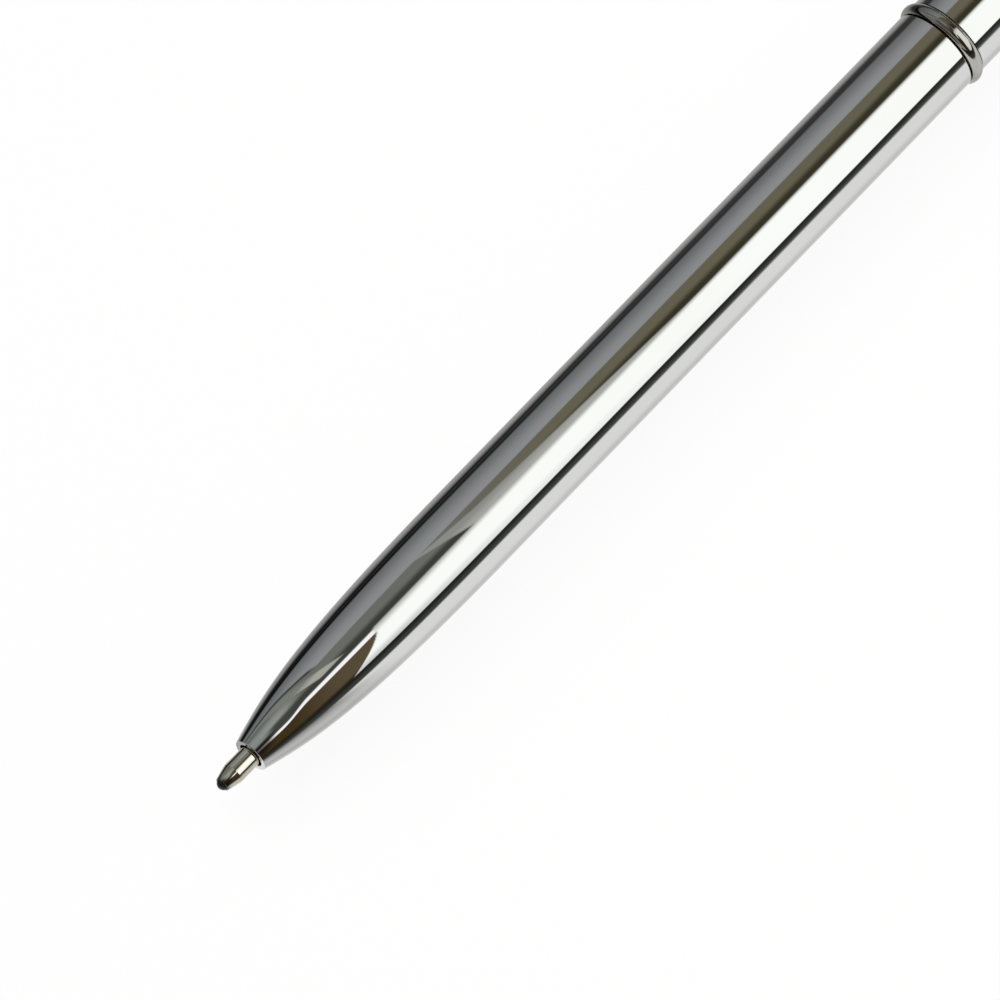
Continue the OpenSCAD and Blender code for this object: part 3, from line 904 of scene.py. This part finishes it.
class PEN_OT_stage(bpy.types.Operator):
    """Set up the white floor, the studio panels, the overhead light and the camera"""
    bl_idname = "pen.stage"
    bl_label = "Stage"

    def execute(self, context):
        stage = context.scene.pen_stage
        context.scene.view_settings.view_transform = "Standard"
        self.floor(stage)
        self.surroundings(context.scene)
        self.tent(stage)
        self.cards(stage)
        lamp = bpy.data.lights.new("overhead", "SUN")
        lamp.energy = stage.sun
        lamp.angle = math.radians(LIGHT_SPREAD)
        sun = bpy.data.objects.new("overhead", lamp)
        sun.rotation_euler = np.radians(LIGHT_TURN).tolist()
        sun.visible_glossy = False
        context.scene.collection.objects.link(sun)
        self.camera(context.scene, stage)
        return {"FINISHED"}

    @staticmethod
    def floor(stage):
        """A disc round the pen, turned up into a low wall: radius and height along a corner."""
        radius, wall = stage.floor_radius, stage.floor_wall
        corner = rounded([(0, 0), (radius, 0), (radius, wall)], [FLOOR_ROUND], steps=12)
        side = np.vstack([(FLOOR_MIDDLE, 0), corner, (radius, wall)])
        v = np.linspace(0, 2 * math.pi, FLOOR_SIDES, endpoint=False)
        grid = np.stack([side[:, :1] * np.cos(v), side[:, :1] * np.sin(v), side[:, 1:] + 0 * v], -1)
        faces = grid_faces(len(side), FLOOR_SIDES, close_columns=True)
        mesh = bpy.data.meshes.new("floor")
        mesh.from_pydata(grid.reshape(-1, 3).tolist(), [], [*faces, list(range(FLOOR_SIDES))])
        mesh.update()
        white, tree = stage_material("white_floor")
        # Seen directly or in metal the floor is plain white; a share of it still takes shadow.
        seen = add(tree, "ShaderNodeLightPath")
        direct = add(tree, "ShaderNodeMath", {
            0: seen.outputs["Is Camera Ray"], 1: seen.outputs["Is Glossy Ray"]},
            operation="MAXIMUM")
        either = add(tree, "ShaderNodeMath", {
            0: direct.outputs[0], 1: seen.outputs["Is Transmission Ray"]}, operation="MAXIMUM")
        share = add(tree, "ShaderNodeMath", {0: either.outputs[0], 1: FLOOR_GLOW},
                    operation="MULTIPLY")
        paper = add(tree, "ShaderNodeBsdfDiffuse", {"Color": colour("F4F4F4")})
        glow = add(tree, "ShaderNodeEmission", {"Color": colour("FFFFFF"), "Strength": 1.0})
        lit = add(tree, "ShaderNodeMixShader", {
            0: share.outputs[0], 1: paper.outputs[0], 2: glow.outputs[0]})
        # From below the floor is clear.
        behind = add(tree, "ShaderNodeNewGeometry").outputs["Backfacing"]
        clear = add(tree, "ShaderNodeBsdfTransparent")
        both = add(tree, "ShaderNodeMixShader", {0: behind, 1: lit.outputs[0], 2: clear.outputs[0]})
        add(tree, "ShaderNodeOutputMaterial", {"Surface": both.outputs[0]})
        place("floor", mesh, white)

    @staticmethod
    def surroundings(scene):
        """Dim surroundings outside the tent: olive-brown overhead, nearly black at the horizon."""
        dim = bpy.data.worlds.new("dim_surroundings")
        dim.use_nodes = True
        tree = dim.node_tree
        tree.nodes.clear()
        view = add(tree, "ShaderNodeTexCoord").outputs["Generated"]
        height = add(tree, "ShaderNodeSeparateXYZ", {"Vector": view}).outputs["Z"]
        upward = add(tree, "ShaderNodeMapRange", {
            "Value": height, "From Min": 0.12, "From Max": 0.3}, interpolation_type="SMOOTHSTEP")
        shade = add(tree, "ShaderNodeMix", {
            "Factor": upward.outputs["Result"], "A": colour("1C1A18"), "B": colour("5A5238")},
            data_type="RGBA")
        sky = add(tree, "ShaderNodeBackground", {"Color": shade.outputs["Result"], "Strength": 1.0})
        add(tree, "ShaderNodeOutputWorld", {"Surface": sky.outputs[0]})
        scene.world = dim

    @staticmethod
    def tent(stage):
        """A cloth tent over the pen: the half cylinder (x, y0 - R sin a, z0 + R cos a)."""
        angle = np.linspace(-91, 91, 365)
        # The points are closest where the pen shows the tent in the main view.
        x = np.unique(np.r_[np.linspace(-TENT_REACH, -120, 41), np.linspace(-120, 160, 225),
                            np.linspace(160, TENT_REACH, 28)])
        a, x = np.meshgrid(angle, x)
        turn = np.radians(a)
        mesh = sheet_mesh("tent", np.stack([
            x * MM, AXIS_Y - stage.tent_radius * np.sin(turn),
            AXIS_Z + stage.tent_radius * np.cos(turn)], -1))
        light = tent_light(a, x) * stage.key
        glow = mesh.color_attributes.new("glow", "FLOAT_COLOR", "POINT")
        glow.data.foreach_set("color", np.dstack([light, np.ones(a.shape)]).ravel())
        cloth, tree = stage_material("lit_cloth")
        shade = add(tree, "ShaderNodeAttribute", attribute_name="glow").outputs["Color"]
        lamp = add(tree, "ShaderNodeEmission", {"Color": shade, "Strength": 1.0})
        add(tree, "ShaderNodeOutputMaterial", {"Surface": lamp.outputs[0]})
        cloth.cycles.emission_sampling = "NONE"
        tent = place("tent", mesh, cloth)
        tent.visible_camera = tent.visible_shadow = False

    @staticmethod
    def cards(stage):
        """Dark cards on the floor on both sides of the pen, which only metal shows.

        How clear a card is depends on the distance d from the pen. In front it is clear but for a
        painted contact shadow along the pen's foot, and shuts beyond 33 mm as exp(-(d - 33) / v),
        where v grows towards the ring; past the point it shuts as exp(-d / 21). Behind it is
        0.45 exp(-(d / w) cubed), half shut near the pen as painted shadow of the pen on its shaded
        side, with a lighter band along the foot; w shrinks past the point, and it is never quite
        shut towards the ring.
        """
        d = np.r_[np.linspace(1, 90, 119), stage.tent_radius / MM]
        x = np.r_[-TENT_REACH, np.linspace(-90, 30, 81), TENT_REACH][:, None]
        # A band along the pen's foot: in front it shuts the card a little, a painted contact shadow
        # that only metal shows; behind it opens the card a little.
        painted_shade_band = np.exp(-((d - 4.5) / 2) ** 2)
        foot = 1 - 0.28 * painted_shade_band
        front = foot * np.exp(-np.maximum(d - 33, 0) / (11 + 6 * soft(-5, 15, x)))
        past = 1 - soft(-56, -49, x)
        front = front + (foot * np.exp(-d / 21) - front) * past
        reach = 19 - 5 * (1 - soft(-68, -40, x))
        # Behind, the card stays half shut near the pen: painted shadow of the pen on its shaded
        # side, as the metal sees the floor.
        rear = 0.45 * np.exp(-(d / reach) ** 3) + 0.2 * painted_shade_band
        rear = rear + 0.035 * soft(-40, 15, x)
        height = 0.2 + 0 * x * d
        for name, side, clear_share, shade in (("card_front", -1, front, "3A3B38"),
                                               ("card_rear", 1, rear, "1B1C1B")):
            dark, tree = stage_material(name)
            cover = add(tree, "ShaderNodeAttribute", attribute_name="cover").outputs["Fac"]
            clear = add(tree, "ShaderNodeBsdfTransparent")
            card = add(tree, "ShaderNodeBsdfDiffuse", {"Color": colour(shade)})
            mixed = add(tree, "ShaderNodeMixShader", {
                0: cover, 1: clear.outputs[0], 2: card.outputs[0]})
            add(tree, "ShaderNodeOutputMaterial", {"Surface": mixed.outputs[0]})
            mesh = sheet_mesh(name, np.stack([
                x + 0 * d, AXIS_Y / MM + side * d + 0 * x, height], -1) * MM)
            mesh.attributes.new("cover", "FLOAT", "POINT").data.foreach_set(
                "value", (1 - clear_share + 0 * x).ravel())
            flag = place(name, mesh, dark)
            flag.visible_camera = flag.visible_shadow = flag.visible_diffuse = False

    @staticmethod
    def camera(scene, stage):
        """The camera looks at its target from azimuth and elevation, upright."""
        a, e = stage.azimuth, stage.elevation
        back = Vector((math.sin(a) * math.cos(e), -math.cos(a) * math.cos(e), math.sin(e)))
        lens = bpy.data.cameras.new("camera")
        lens.angle = stage.view_angle
        lens.clip_start, lens.clip_end = 0.01, 20.0
        eye = bpy.data.objects.new("camera", lens)
        eye.location = Vector(stage.target) + back * stage.distance
        eye.rotation_euler = back.to_track_quat("Z", "Y").to_euler()
        scene.collection.objects.link(eye)
        scene.camera = eye


class PEN_PT_panel(bpy.types.Panel):
    """Lists the pen's sizes, finishes and building steps"""
    bl_idname = "PEN_PT_panel"
    bl_label = "Twist pen"
    bl_space_type = "VIEW_3D"
    bl_region_type = "UI"
    bl_category = "Pen"

    def draw(self, context):
        for operator in OPERATORS:
            self.layout.operator(operator.bl_idname)
        for group in GROUPS:
            column = self.layout.column(align=True)
            for name in GROUPS[group].__annotations__:
                column.prop(getattr(context.scene, group), name)


OPERATORS = (PEN_OT_barrels, PEN_OT_ring_and_finial, PEN_OT_clip, PEN_OT_refill,
             PEN_OT_mechanism, PEN_OT_stage)
GROUPS = {"pen_sizes": PenSizes, "pen_finishes": PenFinishes, "pen_stage": PenStage}
CLASSES = (*GROUPS.values(), *OPERATORS, PEN_PT_panel)


def register():
    for item in CLASSES:
        bpy.utils.register_class(item)
    for name, group in GROUPS.items():
        setattr(bpy.types.Scene, name, bpy.props.PointerProperty(type=group))


def unregister():
    for name in GROUPS:
        delattr(bpy.types.Scene, name)
    for item in reversed(CLASSES):
        bpy.utils.unregister_class(item)


def main():
    register()
    bpy.ops.pen.barrels()
    bpy.ops.pen.ring_and_finial()
    bpy.ops.pen.clip()
    bpy.ops.pen.refill()
    bpy.ops.pen.mechanism()
    bpy.ops.pen.stage()
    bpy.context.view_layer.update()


if __name__ == "__main__":
    main()
